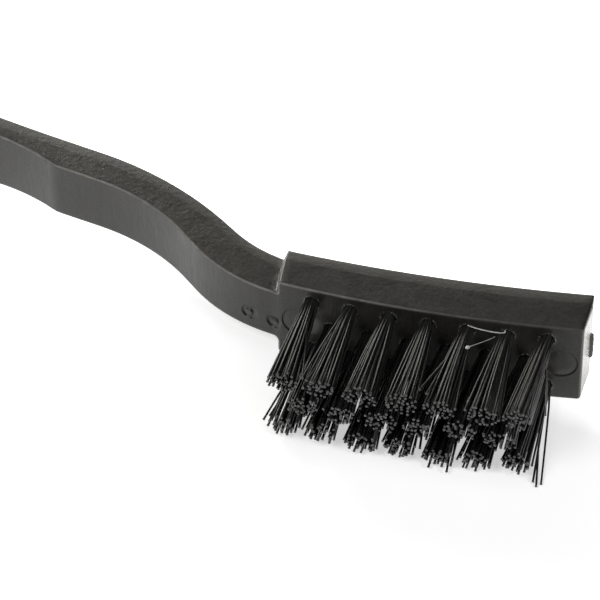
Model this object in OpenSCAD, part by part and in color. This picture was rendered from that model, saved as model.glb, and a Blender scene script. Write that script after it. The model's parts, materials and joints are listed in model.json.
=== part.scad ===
// Groove brush with a moulded handle and staple-set bristle tufts.
// The brush lies on its side: +X runs from the grip to the tip of the head, the bristles point
// to -Y, and +Z is up, across the width. The origin is at the bottom centre of its box.

/* [Head] */
// Length of the head along its bristle face
head_len = 38; // [36:0.5:42]
// Width of the head and of the grip, which are the two side faces it rests on
head_w = 11.5; // [11:0.1:14]
// Thickness of the head at the middle of its length
head_t = 7; // [6:0.1:8]
// Thickness of the head at its end by the neck
heel_t = 6.6; // [6:0.1:7.5]
// Thickness of the head at its free end
toe_t = 7.1; // [6.5:0.1:8]
// How much longer the head is at its back than at its face, at its end by the neck
heel_lean = 0.5; // [0:0.1:1]
// How much longer the head is at its back than at its face, at its free end
toe_lean = 0.3; // [0:0.1:1]
// How far the bristle face bows out at the middle of its length
head_bow = 1.1; // [0.6:0.1:1.4]
// Corner radius of the head, seen from the bristle side
head_corner_r = 0.5; // [0.3:0.1:1.2]
// Angle between the head and the grip
head_tilt = 14; // [12:0.5:16]

/* [Tufts] */
// Length of the bristles outside the head
bristle_len = 14.5; // [10:0.5:18]
// Number of tufts in each outer row; the middle row has one fewer
outer_tufts = 7; // [4:1:7]
// Distance between neighbouring tufts of a row
tuft_pitch = 4.86; // [4.7:0.02:4.9]
// Distance between neighbouring rows
row_gap = 3.65; // [3.2:0.05:3.7]
// Diameter of a tuft in its hole
hole_d = 1.8; // [1.6:0.1:2.2]
// Depth of the blind holes
hole_depth = 4.5; // [4:0.1:5]
// Diameter of a tuft at its flared tips
tip_d = 3.6; // [2.4:0.1:3.8]
// Height of the straight collar that each tuft has above the face
collar_h = 0.5; // [0.4:0.1:1]

/* [Anchors] */
// Length of the wire anchor that is driven across the bottom of each hole
anchor_len = 2.5; // [2.3:0.1:2.8]
// Thickness of the anchor
anchor_t = 0.3; // [0.2:0.05:0.4]
// Height of the anchor
anchor_h = 1.6; // [1.2:0.1:2]

/* [Neck] */
// Width of the neck where it meets the head
neck_w = 7.3; // [6:0.1:8]
// Width of the handle at the near edge of the finger scoop
waist_w = 8; // [7:0.1:9]
// Radius of the first bend on the bristle side
front_bend_r = 22.5; // [21:0.5:24]
// Radius of the first bend on the back
back_bend_r = 18.5; // [17:0.5:20]
// Radius of the second bend on the bristle side
front_return_r = 29; // [27:0.5:31]
// Radius of the second bend on the back
back_return_r = 46; // [44:0.5:48]
// Steepest slope of the neck to the grip, on the bristle side
front_slope = 31; // [30:0.5:32]
// Steepest slope of the neck to the grip, on the back
back_slope = 26; // [25:0.5:27]

/* [Grip] */
// Overall length, from the end of the grip to the tips of the last tufts
overall_len = 176; // [165:1:190]
// Distance from the end of the head to the near edge of the finger scoop
scoop_start = 36.5; // [34.5:0.5:40]
// Radius of the finger scoop on the bristle side
scoop_r = 31; // [28:0.5:36]
// Slope of the finger scoop at its two edges
scoop_slope = 19; // [14:0.5:20]
// Radius of the swelling behind the finger scoop
belly_r = 20; // [12:1:30]
// Length over which the handle widens from the neck to the grip
swell_len = 48; // [28:1:50]
// Thickness of the end of the grip
tail_t = 4.4; // [3.5:0.1:5]
// Length of the end of the grip that has this even thickness
tail_len = 14; // [12:0.5:18]
// Width of the end of the grip
tail_w = 9; // [8:0.1:10]
// Diameter of the hole that the brush hangs by
hang_hole_d = 4; // [3:0.1:4.5]
// Distance from the end of the grip to the centre of the hanging hole
hang_hole_inset = 5; // [4.5:0.1:7]

/* [Hidden] */
$fn = 64;
// How far a shape that cuts runs past what it cuts
overrun = 1;
// Depth of the outlines seen from the bristle side: more than the bent handle takes up
outline_depth = 60;
row_names = ["lower", "middle", "upper"];
rows = [0 : len(row_names) - 1];
// Slopes of the two outlines where they leave the head, and how far behind the face they start
front_exit_slope = -4.4;
back_exit_slope = -1.5;
neck_set_back = 0.4;
// Lengths of the straight runs between the two bends
front_run = 2.3;
back_run = 2.2;
// How far the neck's solid runs on into the head, and how far inside the head's faces it stays
neck_root = 4;
root_inset = 0.6;
// Angle between neighbouring points of a bend, and number of steps along the head and the grip
bend_step = 3;
head_steps = 24;
swell_steps = 14;
// Length over which the grip narrows to its end
taper_len = 34;

function tufts_in(row) = row == 1 ? outer_tufts - 1 : outer_tufts;
function tuft_name(kind, row, i) = str(kind, "_", row_names[row], "_", i + 1);
function names_of(kind) = [for (row = rows, i = [0 : tufts_in(row) - 1]) tuft_name(kind, row, i)];

// Place of a tuft along the head, and of its row across the width
function tuft_x(row, i) = (i - (tufts_in(row) - 1) / 2) * tuft_pitch;
function tuft_z(row) = (row - 1) * row_gap;

// Height of the bowed bristle face at a place along the head
function face_y(x) = -head_bow * (1 - pow(2 * x / head_len, 2));

// Thickness of the head at a place along it: a curve through the three driving thicknesses
function thickness(x) =
    let (s = 2 * x / head_len)
    head_t + (toe_t - heel_t) / 2 * s + ((toe_t + heel_t) / 2 - head_t) * s * s;

// A point of the head, turned into the directions of the grip
function turned(p) = [
    p.x * cos(head_tilt) - p.y * sin(head_tilt),
    p.x * sin(head_tilt) + p.y * cos(head_tilt)
];

// Points of a bend that starts at p and turns from slope a to slope b, running towards the grip
function bend(p, r, a, b) =
    let (
        side = sign(b - a),
        steps = max(2, ceil(abs(b - a) / bend_step))
    )
    [for (k = [0 : steps])
        let (t = a + (b - a) * k / steps)
        [p.x - r * side * (sin(t) - sin(a)), p.y - r * side * (cos(t) - cos(a))]
    ];
function last(points) = points[len(points) - 1];

// Even rise from 0 to 1 as x goes from a to b
function ramp(x, a, b) =
    let (t = min(1, max(0, (x - a) / (b - a))))
    t * t * (3 - 2 * t);

// Outline of the neck and grip on the bristle side, from the head to the far edge of the scoop
neck_front = turned([-head_len / 2, neck_set_back]);
front_bend = bend(neck_front, front_bend_r, front_exit_slope, front_slope);
front_top = last(front_bend) + front_run * [-cos(front_slope), sin(front_slope)];
front_return = bend(front_top, front_return_r, front_slope, 0);
scoop_edge = [neck_front.x - scoop_start, last(front_return).y];
scoop = bend(scoop_edge, scoop_r, scoop_slope, -scoop_slope);
belly = bend(last(scoop), belly_r, -scoop_slope, 0);

// Outline of the back
neck_back = turned([-head_len / 2, head_t]);
back_bend = bend(neck_back, back_bend_r, back_exit_slope, back_slope);
back_top = last(back_bend) + back_run * [-cos(back_slope), sin(back_slope)];
back_return = bend(back_top, back_return_r, back_slope, 0);
back_y = last(back_return).y;

// Ends of the whole brush, in the directions of the grip
last_tip = [tuft_x(0, outer_tufts - 1) + tip_d / 2, face_y(tuft_x(0, outer_tufts - 1)) - bristle_len];
x_max = max(turned(last_tip).x, turned([head_len / 2, 0]).x);
x_min = x_max - overall_len;
y_min = turned([-last_tip.x, last_tip.y]).y;
y_max = max(turned([head_len / 2 + toe_lean, toe_t]).y, back_y);
centre = [(x_min + x_max) / 2, (y_min + y_max) / 2];

// Moves a shape drawn in the directions of the grip to its place on the origin
module placed() {
    translate([-centre.x, -centre.y, head_w / 2])
        children();
}

// Moves a shape drawn on the head, at the middle of its chord and width, to its place
module on_head() {
    placed()
        rotate(head_tilt)
            children();
}

// Lays an outline drawn in X and Z into the XZ plane, thick enough to pass through the handle
module seen_from_front(depth) {
    rotate([90, 0, 0])
        translate([0, 0, -depth / 2])
            linear_extrude(depth)
                children();
}

module rounded_rectangle(size, r) {
    square([size.x - 2 * r, size.y], center = true);
    square([size.x, size.y - 2 * r], center = true);
    for (x = [-1, 1], y = [-1, 1])
        translate([x * (size.x / 2 - r), y * (size.y / 2 - r)])
            circle(r);
}

module head_side_outline() {
    xs = [for (k = [0 : head_steps]) head_len * (k / head_steps - 0.5)];
    front = [for (x = xs) [x, face_y(x)]];
    back = [for (k = [head_steps : -1 : 0])
        let (share = k / head_steps)
        [xs[k] + toe_lean * share - heel_lean * (1 - share), face_y(xs[k]) + thickness(xs[k])]];
    polygon(concat(front, back));
}

module head_block() {
    intersection() {
        linear_extrude(head_w, center = true)
            head_side_outline();
        seen_from_front(outline_depth)
            translate([(toe_lean - heel_lean) / 2, 0])
                rounded_rectangle([head_len + heel_lean + toe_lean, head_w], head_corner_r);
    }
}

module neck_and_grip_side_outline() {
    root_front = turned([-head_len / 2 + neck_root, root_inset]);
    root_back = turned([-head_len / 2 + neck_root, head_t - head_bow - root_inset]);
    tail_front = [[x_min + tail_len, back_y - tail_t], [x_min, back_y - tail_t]];
    back = concat([root_back], back_bend, back_return, [[x_min, back_y]]);
    polygon(concat(
        [root_front], front_bend, front_return, scoop, belly, tail_front,
        [for (k = [len(back) - 1 : -1 : 0]) back[k]]
    ));
}

// Half of the handle's width at a place along the neck or the grip
function half_width(x) =
    let (
        neck = neck_w / 2 + (waist_w - neck_w) / 2 * ramp(x, neck_front.x, scoop_edge.x),
        swell = (head_w - waist_w) / 2 * ramp(x, scoop_edge.x, scoop_edge.x - swell_len),
        taper = (head_w - tail_w) / 2 * ramp(x, x_min + taper_len, x_min + tail_w / 2)
    )
    neck + swell - taper;

module neck_and_grip_front_outline() {
    start = neck_front.x + neck_root - root_inset;
    swell_end = scoop_edge.x - swell_len;
    taper_start = x_min + taper_len;
    tail_x = x_min + tail_w / 2;
    stations = concat(
        [start, neck_front.x],
        [for (k = [1 : swell_steps]) neck_front.x + (scoop_edge.x - neck_front.x) * k / swell_steps],
        [for (k = [1 : swell_steps]) scoop_edge.x + (swell_end - scoop_edge.x) * k / swell_steps],
        [for (k = [0 : swell_steps - 1]) taper_start + (tail_x - taper_start) * k / swell_steps]
    );
    upper = [for (x = stations) [x, half_width(x)]];
    lower = [for (k = [len(stations) - 1 : -1 : 0]) [stations[k], -half_width(stations[k])]];
    polygon(concat(upper, [[tail_x, tail_w / 2], [tail_x, -tail_w / 2]], lower));
    translate([tail_x, 0])
        circle(d = tail_w);
}

module neck_and_grip() {
    intersection() {
        linear_extrude(head_w + 2 * overrun, center = true)
            neck_and_grip_side_outline();
        seen_from_front(outline_depth)
            neck_and_grip_front_outline();
    }
}

// Runs its children at the mouth of one tuft's hole, with +Z pointing into the head
module at_tuft(row, i) {
    on_head()
        translate([tuft_x(row, i), face_y(tuft_x(row, i)), tuft_z(row)])
            rotate([-90, 0, 0])
                children();
}

module hang_hole() {
    translate([x_min + hang_hole_inset, back_y - tail_t - overrun, 0])
        rotate([-90, 0, 0])
            cylinder(d = hang_hole_d, h = tail_t + 2 * overrun);
}

module anchor_shape() {
    translate([-anchor_len / 2, -anchor_t / 2, hole_depth - anchor_h])
        cube([anchor_len, anchor_t, anchor_h]);
}

// The handle is one moulding: grip, neck and head, with a blind hole for each tuft
module handle_body() {
    color("#3a3a36")
        difference() {
            union() {
                on_head()
                    head_block();
                placed()
                    neck_and_grip();
            }
            placed()
                hang_hole();
            for (row = rows, i = [0 : tufts_in(row) - 1])
                at_tuft(row, i) {
                    translate([0, 0, -overrun])
                        cylinder(d = hole_d, h = hole_depth + overrun);
                    anchor_shape();
                }
        }
}

// A folded bundle of filaments: straight in its hole, flared outside, split by its anchor
module tuft(row, i) {
    color("#1c1c1d")
        at_tuft(row, i)
            difference() {
                union() {
                    translate([0, 0, -collar_h])
                        cylinder(d = hole_d, h = hole_depth + collar_h);
                    translate([0, 0, -bristle_len])
                        cylinder(d1 = tip_d, d2 = hole_d, h = bristle_len - collar_h);
                }
                anchor_shape();
            }
}

// A short piece of flat wire, driven across the fold of the tuft into the floor of the hole
module anchor(row, i) {
    color("#b9a36a")
        at_tuft(row, i)
            anchor_shape();
}

handle_body();
for (row = rows, i = [0 : tufts_in(row) - 1]) {
    tuft(row, i);
    anchor(row, i);
}
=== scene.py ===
"""Looks of the groove brush: a moulded black handle with a bowed head, and tufts of black
nylon filaments. Lengths are in metres, in the part's own frame: +X to the head's tip, the
bristles towards -Y, +Z up."""

import json
import math
import random

import bmesh
import bpy
import numpy as np
from mathutils import Matrix, Vector, noise
from mathutils.bvhtree import BVHTree
from mathutils.geometry import delaunay_2d_cdt, interpolate_bezier


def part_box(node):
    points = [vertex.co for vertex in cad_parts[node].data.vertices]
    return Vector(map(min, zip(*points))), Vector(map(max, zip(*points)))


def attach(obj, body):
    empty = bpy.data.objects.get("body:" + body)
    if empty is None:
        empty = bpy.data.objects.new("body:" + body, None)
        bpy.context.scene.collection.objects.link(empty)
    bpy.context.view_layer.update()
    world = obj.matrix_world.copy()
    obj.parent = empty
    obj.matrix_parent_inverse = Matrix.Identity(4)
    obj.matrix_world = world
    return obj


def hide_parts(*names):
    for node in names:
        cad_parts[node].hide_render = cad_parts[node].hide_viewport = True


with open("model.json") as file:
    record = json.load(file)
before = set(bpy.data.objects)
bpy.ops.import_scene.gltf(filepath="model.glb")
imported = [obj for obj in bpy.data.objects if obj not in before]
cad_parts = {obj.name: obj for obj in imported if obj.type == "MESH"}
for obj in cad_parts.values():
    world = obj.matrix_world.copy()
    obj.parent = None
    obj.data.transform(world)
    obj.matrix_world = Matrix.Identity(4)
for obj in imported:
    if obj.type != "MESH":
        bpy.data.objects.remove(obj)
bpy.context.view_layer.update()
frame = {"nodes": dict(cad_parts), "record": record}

MM = 0.001
UP = Vector((0, 0, 1))
rng = random.Random(7)

ROWS = ("lower", "middle", "upper")


# ---------------------------------------------------------------- places read from the frame

def centre_of(node):
    low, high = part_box(node)
    return (low + high) / 2


def nodes_of(kind, row):
    """The nodes of one row, in order along the head."""
    found = [n for n in frame["nodes"] if n.startswith(f"{kind}_{row}_")]
    return sorted(found, key=lambda n: centre_of(n).x)


def ray_mesh(node):
    mesh = frame["nodes"][node].data
    return BVHTree.FromPolygons(
        [v.co for v in mesh.vertices], [p.vertices for p in mesh.polygons], epsilon=0.0)


handle_rays = ray_mesh("handle_body")
MID_Z = centre_of("handle_body").z
REACH = 0.05


def hit(point, direction):
    """Where a ray from outside, towards point, first meets the handle."""
    start = point - direction * REACH
    place, _, _, _ = handle_rays.ray_cast(start, direction, 2 * REACH)
    return place


class Head:
    """The head's own directions, measured on the CAD handle: its face's left end, its length
    along the face, and how far its two end faces turn outwards from the face's normal."""

    EDGE = 4.75 * MM                 # a place across the width, outside the holes and the neck
    DEPTHS = (-2.5 * MM, 2.5 * MM)   # where the ends are measured, from the anchors' middle
    FROM_END = 0.6 * MM              # where the face is measured, from the head's left end

    def __init__(self):
        outer = nodes_of("anchor", "lower")
        first, final = centre_of(outer[0]), centre_of(outer[-1])
        self.along = (final - first).normalized()
        self.back = UP.cross(self.along)
        self.middle = (first + final) / 2
        self.middle.z = MID_Z
        left, left_slope = self.end(self.along)
        right, right_slope = self.end(-self.along)
        near_end = self.middle + self.along * (left + self.FROM_END) + UP * self.EDGE
        face = (hit(near_end, self.back) - self.middle).dot(self.back)
        left += left_slope * face
        right += right_slope * face
        self.length = right - left
        self.left = self.middle + self.along * left + self.back * face
        self.heel_turn, self.toe_turn = math.atan(-left_slope), math.atan(right_slope)
        self.half_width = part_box("handle_body")[1].z - MID_Z

    def end(self, direction):
        """Place of an end face along the head at the middle's depth, and its slope."""
        places = []
        for depth in self.DEPTHS:
            point = self.middle + self.back * depth + UP * self.EDGE
            places.append((hit(point, direction) - self.middle).dot(self.along))
        slope = (places[1] - places[0]) / (self.DEPTHS[1] - self.DEPTHS[0])
        return sum(places) / 2, slope


head = Head()
CHORD = head.left + head.along * head.length / 2

# ---------------------------------------------------------------- the handle's long sections

TABLE_STEP = 0.25 * MM
TURN_LENGTH = 26 * MM   # over which the sections turn from the head's direction to the grip's
SMOOTH = 0.3 * MM       # rounds the facets of the CAD bends and the edge of the finger scoop

HEAD_ANGLE = math.atan2(head.along.y, head.along.x)
# The neck's base line lies between its lowest and highest middle, so that sections don't cross
BASE_RISE = 7.7 * MM
BASE = head.left + Vector((-BASE_RISE * math.tan(HEAD_ANGLE + head.heel_turn), BASE_RISE, 0))
TAIL_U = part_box("handle_body")[0].x - BASE.x
END_U = head.length


def section_line(u):
    """Point and direction, front to back, of the section at a place u along the handle.
    u is 0 where the neck meets the head, positive on the head and negative to the grip's end."""
    if u >= 0:
        turn = HEAD_ANGLE + np.interp(u, [0, END_U], [head.heel_turn, -head.toe_turn])
        point = head.left + head.along * u
    else:
        turn = (HEAD_ANGLE + head.heel_turn) * max(0.0, 1 + u / TURN_LENGTH)
        point = BASE + Vector((u, 0, 0))
    return point, Vector((-math.sin(turn), math.cos(turn), 0))


def gaussian(values, sigma):
    """Smooths a table of numbers, keeping its ends."""
    reach = int(4 * sigma) + 1
    weights = np.exp(-0.5 * (np.arange(-reach, reach + 1) / sigma) ** 2)
    weights /= weights.sum()
    ahead = 2 * values[0] - values[reach:0:-1]
    after = 2 * values[-1] - values[-2:-reach - 2:-1]
    return np.convolve(np.concatenate([ahead, values, after]), weights, "valid")


class Sections:
    """Front point, back point and half width of the handle at any place u."""

    END_GAP = 0.02 * MM    # how far inside the ends the first and last sections are
    NECK_EDGE = 3.0 * MM   # where the neck and the grip are measured, from the middle
    TAIL_PART = 1.6 * MM   # the end of the grip's round tip, which is measured in the middle

    def __init__(self):
        count = int((END_U - TAIL_U) / TABLE_STEP)
        self.us = np.linspace(TAIL_U + self.END_GAP, END_U - self.END_GAP, count)
        fronts, backs, halves = [], [], []
        for u in self.us:
            base, direction = section_line(u)
            side = UP * (Head.EDGE if u > 0 else self.NECK_EDGE)
            if u < TAIL_U + self.TAIL_PART:
                side = UP * 0
            front = hit(base + side, direction) - side
            back = hit(base + side, -direction) - side
            fronts.append(front[:2])
            backs.append(back[:2])
            middle = (front + back) / 2
            halves.append(hit(middle, -UP).z - MID_Z)
        sigma = SMOOTH / TABLE_STEP
        self.front = [gaussian(np.array(fronts)[:, k], sigma) for k in (0, 1)]
        self.back = [gaussian(np.array(backs)[:, k], sigma) for k in (0, 1)]
        self.half = np.array(halves)

    def at(self, u):
        front = Vector((np.interp(u, self.us, self.front[0]), np.interp(u, self.us, self.front[1])))
        back = Vector((np.interp(u, self.us, self.back[0]), np.interp(u, self.us, self.back[1])))
        return front, back

    def half_width(self, u):
        return float(np.interp(u, self.us, self.half))

    def place(self, u, z, from_front=None, from_back=None):
        """Point at u along the handle and z across it, a depth behind the front or back face."""
        front, back = self.at(u)
        across = (back - front).normalized()
        flat = front + across * from_front if from_back is None else back - across * from_back
        past_end = max(0.0, u - self.us[-1])
        return Vector((flat.x, flat.y, MID_Z + z)) + head.along * past_end


sections = Sections()


# ---------------------------------------------------------------- outline, seen from the bristles

HEAD_CORNER = 0.5 * MM
SHOULDER_FILLET = 0.4 * MM
FRONT_EDGE = 0.3 * MM        # fillet radius of the edge between the sides and the bristle side
BACK_EDGE = 0.35 * MM        # fillet radius of the edge between the sides and the back
PARTING_STEP = 0.07 * MM     # how far the moulding's back half is set in at the parting line
FRONT_DRAFT = 0.06 * MM      # how far the sides lean in from the parting line to the front
BACK_DRAFT = 0.29 * MM       # how far the sides lean in from the parting line to the back
BACK_WEAR_AND_HIGHLIGHT = 0.3              # how light the back's edge is painted, by wear and a painted highlight, for 1 at the front
SUPPORT = 0.16 * MM          # width of the ring of faces that keeps a flat face flat by a fillet
SUPPORT_INSET = 0.02 * MM    # how far that ring stands out on the side, by the back's fillet
MERGE = 0.002 * MM           # points that are closer than this become one
END_BAND = 0.001 * MM        # a place that is this close to the head's end is on it
FILLET_STEPS = 4
CORNER_STEPS = 6
SPACING = 0.8 * MM
ROW_RATIO = 0.87             # from row to row of a face's grid, for points that are 1 apart
END_SPACING = 0.3 * MM       # finer, because the gate stub is on the head's end
TAIL_R = sections.half_width(TAIL_U + 4.6 * MM)   # of the grip's round end
TAIL_STEPS = 14

# The stub that is left where the moulding was cut from its gate, on the head's end
GATE_Z = (-2.5 * MM, 0.9 * MM)
GATE_LENGTH = 0.3 * MM
GATE_HALF_THICKNESS = 0.17 * MM
GATE_BEVEL = 0.02 * MM


def parting_depth(u):
    """Distance of the mould's parting line from the back."""
    return float(np.interp(u, [-6 * MM, 4 * MM], [2.2 * MM, 2.3 * MM]))


def line(a, b, count):
    """Even points from a to b, without b."""
    return [(a[0] + (b[0] - a[0]) * k / count, a[1] + (b[1] - a[1]) * k / count)
            for k in range(count)]


def arc(centre, radius, start, end, steps):
    """Even points round a centre from one angle to another in degrees, without the last."""
    angles = [math.radians(start + (end - start) * k / steps) for k in range(steps)]
    return [(centre[0] + radius * math.cos(a), centre[1] + radius * math.sin(a)) for a in angles]


def upper_outline(inset):
    """Half the outline, moved in: from the middle of the head's end to that of the grip's end.
    Every inset has the same number of points. A corner that is smaller than the inset becomes
    sharp."""
    wide, neck, f = head.half_width, sections.half_width(-1 * MM), SHOULDER_FILLET
    corner, rounding = max(HEAD_CORNER, inset), max(HEAD_CORNER - inset, 0)
    right, top = END_U - inset, wide - inset
    points = line((right, 0), (right, wide - corner), round(wide / END_SPACING))
    points += arc((END_U - corner, wide - corner), rounding, 0, 90, CORNER_STEPS)
    points += line((END_U - corner, top), (corner, top), round(END_U / SPACING))
    points += arc((corner, wide - corner), rounding, 90, 180, CORNER_STEPS)
    points += line((inset, wide - corner), (inset, neck + f), round((wide - neck) / END_SPACING))
    points += arc((-f, neck + f), f + inset, 0, -90, FILLET_STEPS)
    start, end = -f, TAIL_U + TAIL_R
    count = round((start - end) / SPACING)
    places = [start + (end - start) * k / count for k in range(count)]
    points += [(u, sections.half_width(u) - inset) for u in places]
    points += arc((TAIL_U + TAIL_R, 0), TAIL_R - inset, 90, 180, TAIL_STEPS)
    return points


def outline(inset):
    upper = upper_outline(inset)
    lower = [(u, -z) for u, z in upper[:0:-1]]
    return upper + [(TAIL_U + inset, 0)] + lower


def ring_points(centre, radius, count):
    return [(centre[0] + radius * math.cos(2 * math.pi * k / count),
             centre[1] + radius * math.sin(2 * math.pi * k / count)) for k in range(count)]


def inside(polygon, points):
    """Which points lie in a polygon, as an array of true and false."""
    poly, pts = np.array(polygon), np.array(points)
    found = np.zeros(len(pts), bool)
    for (u0, z0), (u1, z1) in zip(poly, np.roll(poly, -1, 0)):
        if z0 == z1:
            continue
        crosses = (z0 > pts[:, 1]) != (z1 > pts[:, 1])
        at = u0 + (pts[:, 1] - z0) * (u1 - u0) / (z1 - z0)
        found ^= crosses & (pts[:, 0] < at)
    return found


# ---------------------------------------------------------------- details of the bristle face

class Mark:
    """A round mark on the bristle face: radii of its rings and how deep each one is."""

    def __init__(self, u, z, rings, count=28):
        self.centre, self.rings, self.count = (u, z), rings, count

    def depth(self, u, z):
        r = math.dist(self.centre, (u, z))
        return float(np.interp(r, [x for x, _ in self.rings], [d for _, d in self.rings], right=0))


def ejector_mark(u):
    """The print of a round ejector pin: a shallow disc in a narrow groove."""
    r, groove, dish = 1.95 * MM, 0.14 * MM, 0.06 * MM
    rings = [(r - 0.22 * MM, dish), (r - 0.08 * MM, groove), (r + 0.04 * MM, groove),
             (r + 0.2 * MM, 0)]
    return Mark(u, 0, rings)


def cavity_ring(u, z):
    """A small sunk ring, where moulds often have a mark to tell their cavities apart."""
    depth = 0.17 * MM
    rings = [(0.42 * MM, 0), (0.58 * MM, depth), (0.82 * MM, depth), (0.98 * MM, 0)]
    return Mark(u, z, rings, 20)


def anchor_seats():
    """Place on the head of each tuft, by row: (row, number, u, z)."""
    seats = []
    for row in ROWS:
        for number, node in enumerate(nodes_of("anchor", row)):
            middle = centre_of(node)
            seats.append((row, number, (middle - head.left).dot(head.along), middle.z - MID_Z))
    return seats


SEATS = anchor_seats()
HOLE_R = 0.92 * MM
HOLE_DEPTH = 4.5 * MM
HOLE_TAPER = 0.02 * MM     # how much narrower a hole is below its rim
RIM_COUNT = 22
EJECTOR_INSET = 2.7 * MM   # from the head's ends
CAVITY_U = (-3.7 * MM, -0.45 * MM)
CAVITY_Z = -1.2 * MM
marks = [ejector_mark(EJECTOR_INSET), ejector_mark(END_U - EJECTOR_INSET)]
marks += [cavity_ring(u, CAVITY_Z) for u in CAVITY_U]


# ---------------------------------------------------------------- the handle's mesh

HANG_EDGE = 0.4 * MM   # fillet radius of the hanging hole's edges
HANG_COUNT = 32
TUBE_SIDES = 8
THREAD_R = 0.07 * MM
DRAWN_SHARE = 0.5      # how thick the drawn-out thread is, for 1 at the curl
THREAD_STEPS = 20
DROP_R = 0.24 * MM
THREAD_GAP = (4, 5)    # places in the upper row of the tufts that the trimmed thread is between


def tube_ring(bm, centre, direction, radius, phase=0.0):
    """A ring of points round a tube's middle line."""
    side = direction.cross(UP).normalized()
    other = direction.cross(side).normalized()
    ring = []
    for k in range(TUBE_SIDES):
        a = phase + 2 * math.pi * k / TUBE_SIDES
        ring.append(bm.verts.new(centre + (side * math.cos(a) + other * math.sin(a)) * radius))
    return ring


class HandleMesh:
    """One closed mesh: two faces filled between rings, and the sides that join them."""

    def __init__(self):
        self.bm = bmesh.new()
        # Where the edges are painted lighter, as wear and a painted highlight
        self.wear_and_highlight = self.bm.verts.layers.float.new("edge_wear_and_highlight")
        self.rims = self.bm.verts.layers.float.new("hole_rim")
        # The end face's mask: its colour is painted lighter as a reflection, and it is glossier
        self.ends = self.bm.verts.layers.float.new("end_face")

    def vert(self, u, z, from_front=None, from_back=None, wear_and_highlight=0.0, rim=0.0):
        v = self.bm.verts.new(sections.place(u, z, from_front, from_back))
        v[self.wear_and_highlight] = wear_and_highlight
        v[self.rims] = rim
        v[self.ends] = u > END_U - 0.5 * HEAD_CORNER
        return v

    def bridge(self, one, two):
        """Faces between two rings of the same count."""
        for k in range(len(one)):
            nxt = (k + 1) % len(one)
            self.bm.faces.new((one[k], one[nxt], two[nxt], two[k]))

    def fill(self, boundary, holes, loops, depth_name, depth=None):
        """Triangles on one face, inside the boundary ring and outside the holes' rings.
        Each ring is a list of (u, z, vertex); loops are rings of points with no vertex yet."""
        points, verts, edges = [], [], []

        def add_ring(ring):
            first = len(points)
            for u, z, v in ring:
                points.append(Vector((u, z)))
                verts.append(v)
            edges.extend((first + k, first + (k + 1) % len(ring)) for k in range(len(ring)))

        for ring in [boundary, *holes, *loops]:
            add_ring(ring)
        taken = np.array([p[:] for p in points])
        polygon = [(u, z) for u, z, _ in boundary]
        us = np.arange(TAIL_U, END_U, SPACING)
        half = int(head.half_width / SPACING) + 1
        grid = [(u + (0.5 * SPACING if j % 2 else 0), j * SPACING * ROW_RATIO)
                for u in us for j in range(-half, half + 1)]
        kept = [p for p, ok in zip(grid, inside(polygon, grid)) if ok]
        for ring in holes:
            outside = ~inside([(u, z) for u, z, _ in ring], kept)
            kept = [p for p, ok in zip(kept, outside) if ok]
        for u, z in kept:
            if np.min(np.hypot(taken[:, 0] - u, taken[:, 1] - z)) > 0.5 * SPACING:
                points.append(Vector((u, z)))
                verts.append(None)
        made, _, faces, origins, _, _ = delaunay_2d_cdt(points, edges, [], 0, 1e-9)
        owner = {i: o[0] for i, o in enumerate(origins) if o}
        real = []
        for i, p in enumerate(made):
            v = verts[owner[i]] if i in owner else None
            if v is None:
                v = self.vert(p.x, p.y, **{depth_name: depth(p.x, p.y) if depth else 0.0})
            real.append(v)
        centres = [((made[a].x + made[b].x + made[c].x) / 3,
                    (made[a].y + made[b].y + made[c].y) / 3) for a, b, c in faces]
        keep = inside(polygon, centres)
        for ring in holes:
            keep &= ~inside([(u, z) for u, z, _ in ring], centres)
        for face, ok in zip(faces, keep):
            if ok:
                self.bm.faces.new([real[i] for i in face])

    def ring(self, inset, wear_and_highlight=0.0, **depth):
        return [(u, z, self.vert(u, z, wear_and_highlight=wear_and_highlight, **depth)) for u, z in outline(inset)]

    def parting_ring(self, inset, above, gate=0.0):
        """A ring near the parting line, in which the gate's stub may stand out of the end."""
        ring = []
        for u, z in outline(inset):
            stub = 0.0
            if u > END_U - inset - END_BAND and GATE_Z[0] < z < GATE_Z[1]:
                torn = noise.noise(Vector((z / (0.5 * MM), above / (0.2 * MM), 0)))
                stub = gate * (1 + 0.35 * torn)
            depth = parting_depth(u) + above
            ring.append((u, z, self.vert(u + stub, z, from_back=depth, wear_and_highlight=stub / GATE_LENGTH)))
        return ring

    def fillet(self, radius, inset, depth_name, wear_and_highlight):
        """Rings of a rounded edge, from the side to the face."""
        rings = []
        for k in range(FILLET_STEPS + 1):
            turn = math.pi / 2 * k / FILLET_STEPS
            # Each edge is painted lightest at its middle: partly wear, partly a painted highlight
            worn_and_lit = wear_and_highlight * math.sin(2 * turn)
            rings.append(self.ring(inset + radius * (1 - math.cos(turn)), worn_and_lit,
                                   **{depth_name: radius * (1 - math.sin(turn))}))
        rings.append(self.ring(inset + radius + SUPPORT, 0.0, **{depth_name: 0.0}))
        return rings

    def sides(self):
        front = self.fillet(FRONT_EDGE, FRONT_DRAFT, "from_front", 1.0)
        back = self.fillet(BACK_EDGE, BACK_DRAFT, "from_back", BACK_WEAR_AND_HIGHLIGHT)
        stub = GATE_HALF_THICKNESS
        levels = [
            self.ring(FRONT_DRAFT, from_front=FRONT_EDGE + SUPPORT),
            self.parting_ring(0, stub + GATE_BEVEL),
            self.parting_ring(0, stub, GATE_LENGTH),
            self.parting_ring(0, 0, GATE_LENGTH),
            self.parting_ring(PARTING_STEP, 0, GATE_LENGTH + PARTING_STEP),
            self.parting_ring(PARTING_STEP, -stub, GATE_LENGTH + PARTING_STEP),
            self.parting_ring(PARTING_STEP, -stub - GATE_BEVEL),
            self.ring(BACK_DRAFT - SUPPORT_INSET, from_back=BACK_EDGE + SUPPORT),
        ]
        rings = front[::-1] + levels + back
        for one, two in zip(rings, rings[1:]):
            self.bridge([v for _, _, v in one], [v for _, _, v in two])
        return front[-1], back[-1]

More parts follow.
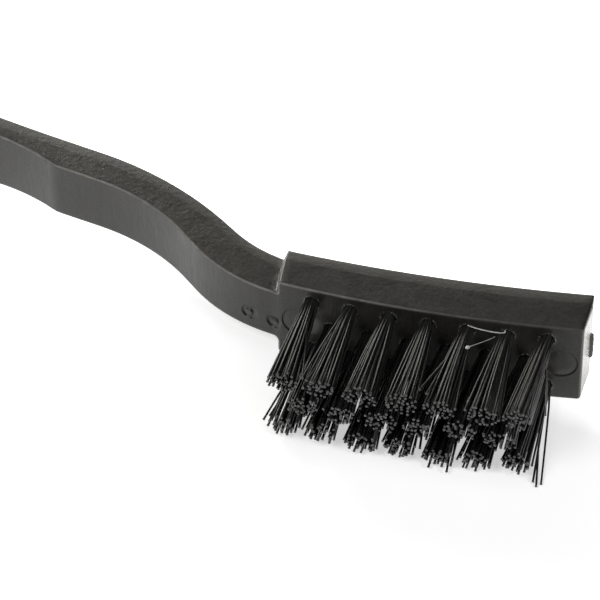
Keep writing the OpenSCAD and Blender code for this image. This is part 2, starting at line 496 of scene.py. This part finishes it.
    def tuft_hole(self, u, z):
        """A blind hole with the raised, torn rim that driving in a tuft leaves."""
        profile = [  # distance from the hole's edge, height there, and how uneven it is
            (0.26, 0.0, 0.0), (0.17, 0.02, 0.5), (0.08, 0.05, 0.9), (0.0, 0.03, 0.8),
            (-0.02, -0.25, 0.0)]
        rings = []
        for out, height, uneven in profile:
            ring = []
            for pu, pz in ring_points((u, z), HOLE_R + out * MM, RIM_COUNT):
                rough = noise.noise(Vector((pu, pz, out * 0.2 * MM)) / (0.45 * MM))
                lift = height * (1 + uneven * 2.2 * rough) * MM
                ring.append((pu, pz, self.vert(pu, pz, from_front=-lift, rim=uneven)))
            rings.append(ring)
        floor = [(pu, pz, self.vert(pu, pz, from_front=HOLE_DEPTH))
                 for pu, pz in ring_points((u, z), HOLE_R - HOLE_TAPER, RIM_COUNT)]
        rings.append(floor)
        for one, two in zip(rings, rings[1:]):
            self.bridge([v for _, _, v in one], [v for _, _, v in two])
        self.bm.faces.new([v for _, _, v in floor])
        return rings[0]

    def thread(self, controls, radii):
        """A closed tube along a curve with four control points, each (u, z, out) from the face."""
        points = interpolate_bezier(
            *(sections.place(u, z, from_front=-out) for u, z, out in controls), len(radii))
        rings = []
        for k, point in enumerate(points):
            before, after = points[max(0, k - 1)], points[min(len(points) - 1, k + 1)]
            rings.append(tube_ring(self.bm, point, (after - before).normalized(), radii[k]))
        faces = [self.bm.faces.new(rings[0][::-1]), self.bm.faces.new(rings[-1])]
        for one, two in zip(rings, rings[1:]):
            faces += [self.bm.faces.new((one[k - 1], one[k], two[k], two[k - 1]))
                      for k in range(TUBE_SIDES)]
        for face in faces:
            face.material_index = 1

    def trimmed_threads(self):
        """The curl and the drawn-out thread with its drop that trimming left by two tufts."""
        (_, _, left, z), (_, _, right, _) = [
            seat for seat in SEATS if seat[0] == "upper" and seat[1] in THREAD_GAP]
        even = [THREAD_R] * THREAD_STEPS
        curl = [(left + 0.1 * MM, z + 1.2 * MM, 0.4 * MM), (left + 1.6 * MM, z + 1.0 * MM, 0.8 * MM),
                (right + 0.6 * MM, z + 0.8 * MM, 1.0 * MM), (right - 0.2 * MM, z + 1.4 * MM, 0.7 * MM)]
        drawn = [(right - 1.3 * MM, z + 0.3 * MM, 0.8 * MM), (right - 2 * MM, z + 0.5 * MM, 1.9 * MM),
                 (left + 1.6 * MM, z + 0.9 * MM, 3.3 * MM), (left + 0.7 * MM, z + 1.2 * MM, 4.5 * MM)]
        drop = [DROP_R * math.sin(math.pi * t) for t in (0.3, 0.55, 0.85)]
        self.thread(curl, even)
        self.thread(drawn, [DRAWN_SHARE * r for r in even[:-len(drop)]] + drop)

    def hang_hole(self):
        """The through hole, with both its edges rounded."""
        mount = next(m for m in frame["record"]["mounts"] if m["name"] == "hang_hole")
        middle = Vector(mount["pos_m"])
        radius = mount["dims"]["r_mm"] * MM
        u = middle.x - section_line(TAIL_U)[0].x + TAIL_U
        front, back = [], []
        for rings, depth_name in ((front, "from_front"), (back, "from_back")):
            for k in range(FILLET_STEPS + 1):
                turn = math.pi / 2 * k / FILLET_STEPS
                depth = {depth_name: HANG_EDGE * (1 - math.sin(turn))}
                wider = radius + HANG_EDGE * (1 - math.cos(turn))
                # The hole's rounded edges are painted lighter too, as wear and a painted highlight
                rings.append([(pu, pz, self.vert(pu, pz, wear_and_highlight=math.sin(2 * turn), **depth))
                              for pu, pz in ring_points((u, 0), wider, HANG_COUNT)])
            widest = radius + HANG_EDGE + SUPPORT
            rings.append([(pu, pz, self.vert(pu, pz, **{depth_name: 0.0}))
                          for pu, pz in ring_points((u, 0), widest, HANG_COUNT)])
        rings = front[::-1] + back
        for one, two in zip(rings, rings[1:]):
            self.bridge([v for _, _, v in one], [v for _, _, v in two])
        return front[-1], back[-1]

    def build(self):
        front, back = self.sides()
        hang_front, hang_back = self.hang_hole()
        holes = [self.tuft_hole(u, z) for _, _, u, z in SEATS]
        self.trimmed_threads()
        loops = [[(pu, pz, None) for pu, pz in ring_points(m.centre, r, m.count)]
                 for m in marks for r, _ in m.rings]

        def depth(u, z):
            return sum(m.depth(u, z) for m in marks)

        self.fill(front, [hang_front, *holes], loops, "from_front", depth)
        self.fill(back, [hang_back], [], "from_back")
        # The points of the corners that became sharp are in one place
        bmesh.ops.remove_doubles(self.bm, verts=self.bm.verts, dist=MERGE)
        bmesh.ops.recalc_face_normals(self.bm, faces=self.bm.faces)
        mesh = bpy.data.meshes.new("handle")
        self.bm.to_mesh(mesh)
        self.bm.free()
        return mesh


def finish_mesh(name, mesh, smooth_angle=38):
    """Puts a mesh in the scene with smooth faces and sharp creases."""
    for polygon in mesh.polygons:
        polygon.use_smooth = True
    mesh.set_sharp_from_angle(angle=math.radians(smooth_angle))
    piece = bpy.data.objects.new(name, mesh)
    bpy.context.scene.collection.objects.link(piece)
    return piece


handle = finish_mesh("handle", HandleMesh().build())
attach(handle, "root")
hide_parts("handle_body")


# ---------------------------------------------------------------- tufts

FILAMENTS = 40
FILAMENT_R = 0.14 * MM
FILAMENT_STEPS = 5
TUFT_ROOT_R = HOLE_R - 0.95 * FILAMENT_R
ROOT_DEPTH = 3.0 * MM
TIP_SPREAD = (1.98 * MM, 1.5 * MM)   # how far a tuft opens at its tips, along and across
TIP_SCATTER = (0.17, 0.15)           # how unevenly its tips lie, along and across, in millimetres
SPREAD_CURVE = 0.85                  # below 1, a tuft opens more near its hole
TRIM_ERROR = 0.07 * MM
TRIM_ALLOWANCE = 0.08 * MM           # how much shorter than the CAD tuft the filaments are
BOW = (0.07, 0.06)                   # how much a filament bends, along and across, in millimetres

# How far the middle of each tuft's tips leans, along the head and across it, in millimetres
LEANS = {
    "lower": [(-0.1, 0), (-0.4, 0.1), (-0.2, -0.3), (-0.4, 0), (-0.3, -0.5), (-0.8, -0.3),
              (-0.7, 0.1)],
    "middle": [(-0.1, 0.1), (-0.2, -0.1), (-0.1, 0.2), (-0.5, -0.1), (-0.3, 0.6), (-0.5, -0.2)],
    "upper": [(-0.2, -0.3), (-0.5, 0), (-0.4, -0.1), (-0.3, 0), (-0.5, -0.1), (-0.2, -0.2),
              (-0.9, -0.3)],
}

# Filaments that stand out of their tuft: where each one's tip is from the middle of the tuft's
# tips, along the head and across it, and how much further out it reaches, in millimetres
STRAYS = {
    ("lower", 0): [(-2.6, 0.1, -0.6), (-1.9, 0.6, -0.9)],
    ("lower", 3): [(2.2, 0.4, -0.3)],
    ("lower", 4): [(0.9, -1.6, 0.9), (-1.4, -1.7, 0.5)],
    ("lower", 6): [(2.5, -1.9, 0.7), (2.0, -1.9, 1.2), (1.5, -1.8, 0.6)],
    ("middle", 1): [(-2.4, 0.3, -0.4)],
    ("upper", 0): [(2.1, 0.4, -0.6)],
    ("upper", 1): [(-2.7, 0.6, -0.9), (-2.1, 0.4, -0.7)],
    ("upper", 4): [(-3.1, 1.3, -1.5), (-2.2, 1.1, -1.2)],
    ("upper", 6): [(2.3, 0.5, -0.9)],
}


def add_filament(bm, shade_layer, points, radius, shade, phase):
    """A closed tube along points, with a cut end that is a little wider, as shears leave it."""
    rings = []
    for k, point in enumerate(points):
        before, after = points[max(0, k - 1)], points[min(len(points) - 1, k + 1)]
        rings.append(tube_ring(bm, point, (after - before).normalized(), radius, phase))
    direction = (points[-1] - points[-2]).normalized()
    for out, width in ((0.35, 1.28), (0.75, 1.25), (0.95, 0.95)):
        rings.append(tube_ring(bm, points[-1] + direction * radius * out, direction,
                               radius * width, phase))
    bands = []
    for one, two in zip(rings, rings[1:]):
        bands.append([bm.faces.new((one[k], one[k - 1], two[k - 1], two[k]))
                      for k in range(TUBE_SIDES)])
    cut = [bm.faces.new(rings[-1]), *bands[-1], *bands[-2]]
    for face in cut:
        face.material_index = 1
    bm.faces.new(rings[0][::-1])
    for ring in rings:
        for v in ring:
            v[shade_layer] = shade


def packed_disc(count):
    """Evenly packed points in a disc of radius 1: distance from the middle and angle."""
    golden = math.pi * (3 - math.sqrt(5))
    return [(math.sqrt((k + 0.5) / count), k * golden) for k in range(count)]


def tuft_reach(node, seat):
    """How far the CAD tuft reaches out of the face at its seat."""
    return max((seat - v.co).dot(head.back) for v in frame["nodes"][node].data.vertices)


def make_tuft(row, number, u, z):
    node = f"tuft_{row}_{number + 1}"
    bm = bmesh.new()
    shade_layer = bm.verts.layers.float.new("shade")
    seat = sections.place(u, z, from_front=0)
    reach = tuft_reach(node, seat)
    across_limit = head.half_width - 1.3 * FILAMENT_R
    lean_along, lean_across = (lean * MM for lean in LEANS[row][number])
    turn = rng.uniform(0, 2 * math.pi)
    wide = TIP_SPREAD[0] * rng.uniform(0.9, 1.12), TIP_SPREAD[1] * rng.uniform(0.92, 1.08)

    def filament(start, tip_along, tip_across, length):
        tip_across = max(-across_limit - z, min(across_limit - z, tip_across))
        tip = head.along * tip_along + UP * tip_across
        bow = head.along * rng.gauss(0, BOW[0]) * MM + UP * rng.gauss(0, BOW[1]) * MM
        points = [seat + head.back * ROOT_DEPTH + start]
        for k in range(FILAMENT_STEPS + 1):
            t = k / FILAMENT_STEPS
            spread = t ** SPREAD_CURVE
            points.append(seat - head.back * length * t + start.lerp(tip, spread)
                          + bow * math.sin(math.pi * t))
        add_filament(bm, shade_layer, points, FILAMENT_R * rng.uniform(0.94, 1.06),
                     rng.random(), rng.uniform(0, math.pi))

    strays = STRAYS.get((row, number), [])
    for k, (r, a) in enumerate(packed_disc(FILAMENTS)):
        x, y = r * math.cos(a + turn), r * math.sin(a + turn)
        start = (head.along * x + UP * y) * TUFT_ROOT_R
        jitter = [rng.gauss(0, scatter) * MM for scatter in TIP_SCATTER]
        trim = rng.gauss(0, TRIM_ERROR)
        if k >= FILAMENTS - len(strays):
            along, across, further = strays[FILAMENTS - 1 - k]
            filament(start, along * MM, across * MM, reach + further * MM)
        else:
            filament(start, x * wide[0] + lean_along + jitter[0],
                     y * wide[1] + lean_across + jitter[1], reach - TRIM_ALLOWANCE + trim)
    bmesh.ops.recalc_face_normals(bm, faces=bm.faces)
    mesh = bpy.data.meshes.new(f"bristles_{row}_{number + 1}")
    bm.to_mesh(mesh)
    bm.free()
    piece = finish_mesh(mesh.name, mesh, 50)
    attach(piece, "root")
    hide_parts(node)
    return piece


tufts = [make_tuft(*seat) for seat in SEATS]


# ---------------------------------------------------------------- materials

class Material:
    """A principled material with short calls for the nodes that it needs."""

    def __init__(self, name, roughness=0.5, specular=0.5):
        self.made = bpy.data.materials.new(name)
        self.made.use_nodes = True
        self.nodes, self.links = self.made.node_tree.nodes, self.made.node_tree.links
        self.shader = self.nodes["Principled BSDF"]
        self.shader.inputs["Roughness"].default_value = roughness
        self.shader.inputs["Specular IOR Level"].default_value = specular
        self.place = self.nodes.new("ShaderNodeTexCoord").outputs["Object"]

    def put(self, value, socket):
        if isinstance(value, bpy.types.NodeSocket):
            self.links.new(value, socket)
        else:
            socket.default_value = value

    def stretched(self, scale):
        """Object coordinates in units of 1/scale metres, with a scale for each axis."""
        node = self.nodes.new("ShaderNodeMapping")
        self.links.new(self.place, node.inputs["Vector"])
        node.inputs["Scale"].default_value = scale
        return node.outputs["Vector"]

    def noise(self, size, detail=3.0, rough=0.55, stretch=(1, 1, 1)):
        """Noise from 0 to 1 with features of about a size in millimetres."""
        node = self.nodes.new("ShaderNodeTexNoise")
        vector = self.stretched([v / (size * MM) for v in stretch])
        self.links.new(vector, node.inputs["Vector"])
        node.inputs["Scale"].default_value = 1
        node.inputs["Detail"].default_value = detail
        node.inputs["Roughness"].default_value = rough
        return node.outputs["Fac"]

    def specks(self, spacing, radius):
        """1 in small round spots about a spacing apart, in millimetres, and 0 around them."""
        node = self.nodes.new("ShaderNodeTexVoronoi")
        vector = self.stretched([1 / (spacing * MM)] * 3)
        self.links.new(vector, node.inputs["Vector"])
        node.inputs["Scale"].default_value = 1
        return self.span(node.outputs["Distance"], radius / spacing, 0.5 * radius / spacing)

    def along(self, axis):
        """The place along an axis."""
        node = self.nodes.new("ShaderNodeSeparateXYZ")
        self.links.new(self.place, node.inputs[0])
        return node.outputs[axis]

    def attribute(self, name):
        node = self.nodes.new("ShaderNodeAttribute")
        node.attribute_name = name
        return node.outputs["Fac"]

    def span(self, value, low, high, to_low=0.0, to_high=1.0):
        """A value taken from one range to another, kept inside it."""
        node = self.nodes.new("ShaderNodeMapRange")
        for k, item in enumerate((value, low, high, to_low, to_high)):
            self.put(item, node.inputs[k])
        return node.outputs["Result"]

    def combine(self, kind, one, two):
        """Two values put together by a kind of arithmetic."""
        node = self.nodes.new("ShaderNodeMath")
        node.operation = kind
        self.put(one, node.inputs[0])
        self.put(two, node.inputs[1])
        return node.outputs["Value"]

    def mix(self, share, one, two):
        """A colour between two, each a colour or an output."""
        node = self.nodes.new("ShaderNodeMix")
        node.data_type = "RGBA"
        self.put(share, node.inputs["Factor"])
        sockets = [i for i in node.inputs if i.type == "RGBA"]
        self.put(one, sockets[0])
        self.put(two, sockets[1])
        return next(o for o in node.outputs if o.type == "RGBA")

    def bump(self, height, depth):
        """Relief of a depth in millimetres on top of what the normal already has."""
        node = self.nodes.new("ShaderNodeBump")
        node.inputs["Distance"].default_value = depth * MM
        node.inputs["Strength"].default_value = 1
        self.links.new(height, node.inputs["Height"])
        normal = self.shader.inputs["Normal"]
        if normal.links:
            self.links.new(normal.links[0].from_socket, node.inputs["Normal"])
        self.links.new(node.outputs["Normal"], normal)

    def set(self, name, value):
        self.put(value, self.shader.inputs[name])


def grey(value, warmth=0.0):
    """A grey that is a little yellow as warmth grows."""
    return (value * (1 + warmth), value, value * (1 - 2.2 * warmth), 1)


WEAR_AND_HIGHLIGHT_SPAN = (0.045, 0.075)   # between which places in X the edges' wear and painted highlight grow fainter towards the head's tip
GLOSS_SPAN = (0.04, 0.055)   # between which places in X the plastic becomes less glossy


def handle_plastic():
    m = Material("handle_plastic")
    mottle = m.noise(9, 4)
    streaks = m.noise(1.1, 3, 0.6, (1, 1, 0.12))
    grain = m.noise(0.16, 2)
    colour = m.mix(m.span(mottle, 0.3, 0.7), grey(0.014, 0.06), grey(0.022, 0.05))
    colour = m.mix(m.span(streaks, 0.35, 0.75, 0, 0.35), colour, grey(0.04, 0.03))
    colour = m.mix(m.span(grain, 0.45, 0.8, 0, 0.6), colour, grey(0.05, 0.04))
    # Rounded edges painted lighter: partly wear, partly a painted highlight along the front edges,
    # which grows fainter towards the head's tip
    patches = m.span(m.noise(1.6, 4), 0.3, 0.7, 0.5, 1)
    wear_and_highlight = m.combine("MULTIPLY", m.attribute("edge_wear_and_highlight"), patches)
    wear_and_highlight = m.combine("MULTIPLY", wear_and_highlight, m.span(m.along("X"), *WEAR_AND_HIGHLIGHT_SPAN, 1, 0.25))
    colour = m.mix(wear_and_highlight, colour, grey(0.24, 0.04))
    # Painted reflection: the head's end face is a lighter warm grey, standing in for the bright
    # grazing reflection it catches
    colour = m.mix(m.attribute("end_face"), colour, grey(0.08, 0.07))
    flecks = m.span(m.noise(0.22, 2), 0.52, 0.6, 0, 0.8)
    torn = m.combine("MULTIPLY", m.attribute("hole_rim"), flecks)
    colour = m.mix(torn, colour, grey(0.4, 0.03))
    dust = m.combine("MULTIPLY", m.specks(2.6, 0.11), m.span(m.noise(3.5, 2), 0.52, 0.6))
    colour = m.mix(m.combine("MULTIPLY", dust, 0.5), colour, grey(0.2, 0.06))
    m.set("Base Color", colour)
    m.set("Specular IOR Level", m.span(m.along("X"), *GLOSS_SPAN, 0.5, 0.41))
    rough = m.span(m.noise(2.2, 4), 0.25, 0.75, 0.28, 0.4)
    rough = m.combine("SUBTRACT", rough, m.combine("MULTIPLY", m.attribute("end_face"), 0.2))
    m.set("Roughness", m.combine("ADD", rough, m.combine("MULTIPLY", torn, 0.25)))
    m.bump(grain, 0.02)
    m.bump(m.noise(0.7, 3, 0.5, (1, 1, 0.3)), 0.04)
    return m.made


def bristle_nylon():
    m = Material("bristle_nylon")
    shade = m.attribute("shade")
    dusty = m.span(m.noise(1.2, 3), 0.55, 0.8, 0, 0.4)
    colour = m.mix(shade, grey(0.011), grey(0.024))
    m.set("Base Color", m.mix(dusty, colour, grey(0.06, 0.05)))
    m.set("Roughness", m.span(shade, 0, 1, 0.34, 0.46))
    m.bump(m.noise(0.12, 2), 0.003)
    return m.made


def cut_end():
    m = Material("cut_end", specular=0.4)
    shade = m.attribute("shade")
    pale = m.combine("MULTIPLY", shade, m.noise(0.1, 2))
    m.set("Base Color", m.mix(pale, grey(0.05), grey(0.22)))
    m.set("Roughness", m.span(shade, 0, 1, 0.5, 0.7))
    m.bump(m.noise(0.06, 2), 0.02)
    return m.made


def trimmed_thread():
    m = Material("trimmed_thread", roughness=0.3)
    # A pale colour, partly the clear nylon's own and partly painted light that makes the thread read
    # bright
    m.set("Base Color", m.mix(m.noise(0.6, 2), grey(0.3), grey(0.8)))
    # Painted glow: the thread glows a little, standing in for the light of the white surroundings that
    # clear nylon carries
    m.set("Emission Color", grey(1.0))
    m.set("Emission Strength", m.span(m.noise(0.8, 2), 0.35, 0.65, 0.0, 0.15))
    m.bump(m.noise(0.2, 2), 0.01)
    return m.made


def anchor_wire():
    m = Material("anchor_wire")
    tarnish = m.span(m.noise(0.8), 0.4, 0.7)
    m.set("Base Color", m.mix(tarnish, (0.66, 0.52, 0.27, 1), (0.5, 0.38, 0.2, 1)))
    m.set("Metallic", 1.0)
    m.set("Roughness", m.span(m.noise(0.2, 2, 0.5, (0.1, 1, 1)), 0.3, 0.7, 0.25, 0.45))
    m.bump(m.noise(0.15, 2, 0.5, (0.1, 1, 1)), 0.004)
    return m.made


def give(mesh, *materials):
    """Gives a mesh its materials. A built mesh has none yet, and isn't cleared, because that
    would undo its faces' material numbers."""
    if mesh.materials:
        mesh.materials.clear()
    for material in materials:
        mesh.materials.append(material)


give(handle.data, handle_plastic(), trimmed_thread())
nylon, nylon_end = bristle_nylon(), cut_end()
for tuft in tufts:
    give(tuft.data, nylon, nylon_end)
wire = anchor_wire()
for row in ROWS:
    for node in nodes_of("anchor", row):
        give(frame["nodes"][node].data, wire)


# ---------------------------------------------------------------- floor, light and camera

FLOOR_SIZE = 6.0
FLOOR_GAP = 0.02 * MM       # keeps the floor just clear of the brush
FLOOR_GLOW = (1.0, 0.54)    # brightness of the floor by the grip and by the head
GLOW_SPAN = (-0.01, 0.06)   # between which places in X it changes
BACK_GLOW = 0.9             # how much brighter the floor behind the brush is
BACK_SPAN = (0.003, 0.016)  # between which places in Y it becomes brighter
LIGHT_AIM = Vector((0.06, 0, 0))


def make_floor():
    """A white floor, lit from below as well, as a light table is."""
    bm = bmesh.new()
    bmesh.ops.create_grid(bm, x_segments=1, y_segments=1, size=FLOOR_SIZE / 2)
    mesh = bpy.data.meshes.new("floor")
    bm.to_mesh(mesh)
    bm.free()
    floor = bpy.data.objects.new("floor", mesh)
    floor.location.z = -FLOOR_GAP
    bpy.context.scene.collection.objects.link(floor)
    m = Material("floor", roughness=0.8, specular=0.2)
    m.set("Base Color", grey(0.85))
    m.set("Emission Color", grey(1.0))
    glow = m.span(m.along("X"), *GLOW_SPAN, *FLOOR_GLOW)
    behind = m.span(m.along("Y"), *BACK_SPAN, 0, BACK_GLOW)
    m.set("Emission Strength", m.combine("ADD", glow, behind))
    give(mesh, m.made)


def softbox(name, place, size, brightness, colour=(1, 1, 1)):
    """A rectangular light of an even brightness that faces the brush."""
    data = bpy.data.lights.new(name, "AREA")
    data.shape = "RECTANGLE"
    data.size, data.size_y = size
    data.energy = brightness * math.pi * size[0] * size[1]
    data.color = colour
    light = bpy.data.objects.new(name, data)
    light.location = place
    light.rotation_mode = "QUATERNION"
    light.rotation_quaternion = (LIGHT_AIM - Vector(place)).to_track_quat("-Z", "Y")
    bpy.context.scene.collection.objects.link(light)


def make_world():
    """A dark studio: all the light comes from the floor and the softboxes."""
    world = bpy.data.worlds.new("world")
    world.use_nodes = True
    world.node_tree.nodes["Background"].inputs["Color"].default_value = grey(0)
    bpy.context.scene.world = world


# The photo's viewpoint, found by fitting the head's corners in perspective
CAMERA_TURN = math.radians(13.374) + HEAD_ANGLE
CAMERA_RISE = math.radians(41.263)
CAMERA_DISTANCE = 465.4 * MM
CAMERA_LENS = 229.4
CAMERA_RIGHT = 15.67 * MM   # how far the head's middle is right of the view's centre, and below
CAMERA_DOWN = 5.05 * MM


def make_camera():
    a, e = CAMERA_TURN, CAMERA_RISE
    back = Vector((math.sin(a) * math.cos(e), -math.cos(a) * math.cos(e), math.sin(e)))
    right = Vector((math.cos(a), math.sin(a), 0))
    up = back.cross(right)
    data = bpy.data.cameras.new("camera")
    data.lens, data.sensor_width = CAMERA_LENS, 36
    data.clip_start, data.clip_end = 0.01, 20
    camera = bpy.data.objects.new("camera", data)
    camera.matrix_world = Matrix((
        (right.x, up.x, back.x, 0), (right.y, up.y, back.y, 0), (right.z, up.z, back.z, 0),
        (0, 0, 0, 1)))
    camera.location = (CHORD + back * CAMERA_DISTANCE - right * CAMERA_RIGHT + up * CAMERA_DOWN)
    bpy.context.scene.collection.objects.link(camera)
    bpy.context.scene.camera = camera


make_floor()
softbox("left", (-0.75, 0.6, 0.4), (0.5, 0.4), 8.0, (1, 0.98, 0.9))
softbox("back", (-0.45, 0.8, 0.32), (0.6, 0.3), 2.6, (1, 0.98, 0.9))
softbox("front", (-0.35, -0.75, 0.95), (0.6, 0.6), 5.0)
softbox("right", (0.95, -0.1, 0.5), (0.5, 0.4), 5.0)
softbox("top", (0.0, 0.1, 1.2), (0.6, 0.6), 1.7)
make_world()
bpy.context.scene.view_settings.view_transform = "Standard"
make_camera()
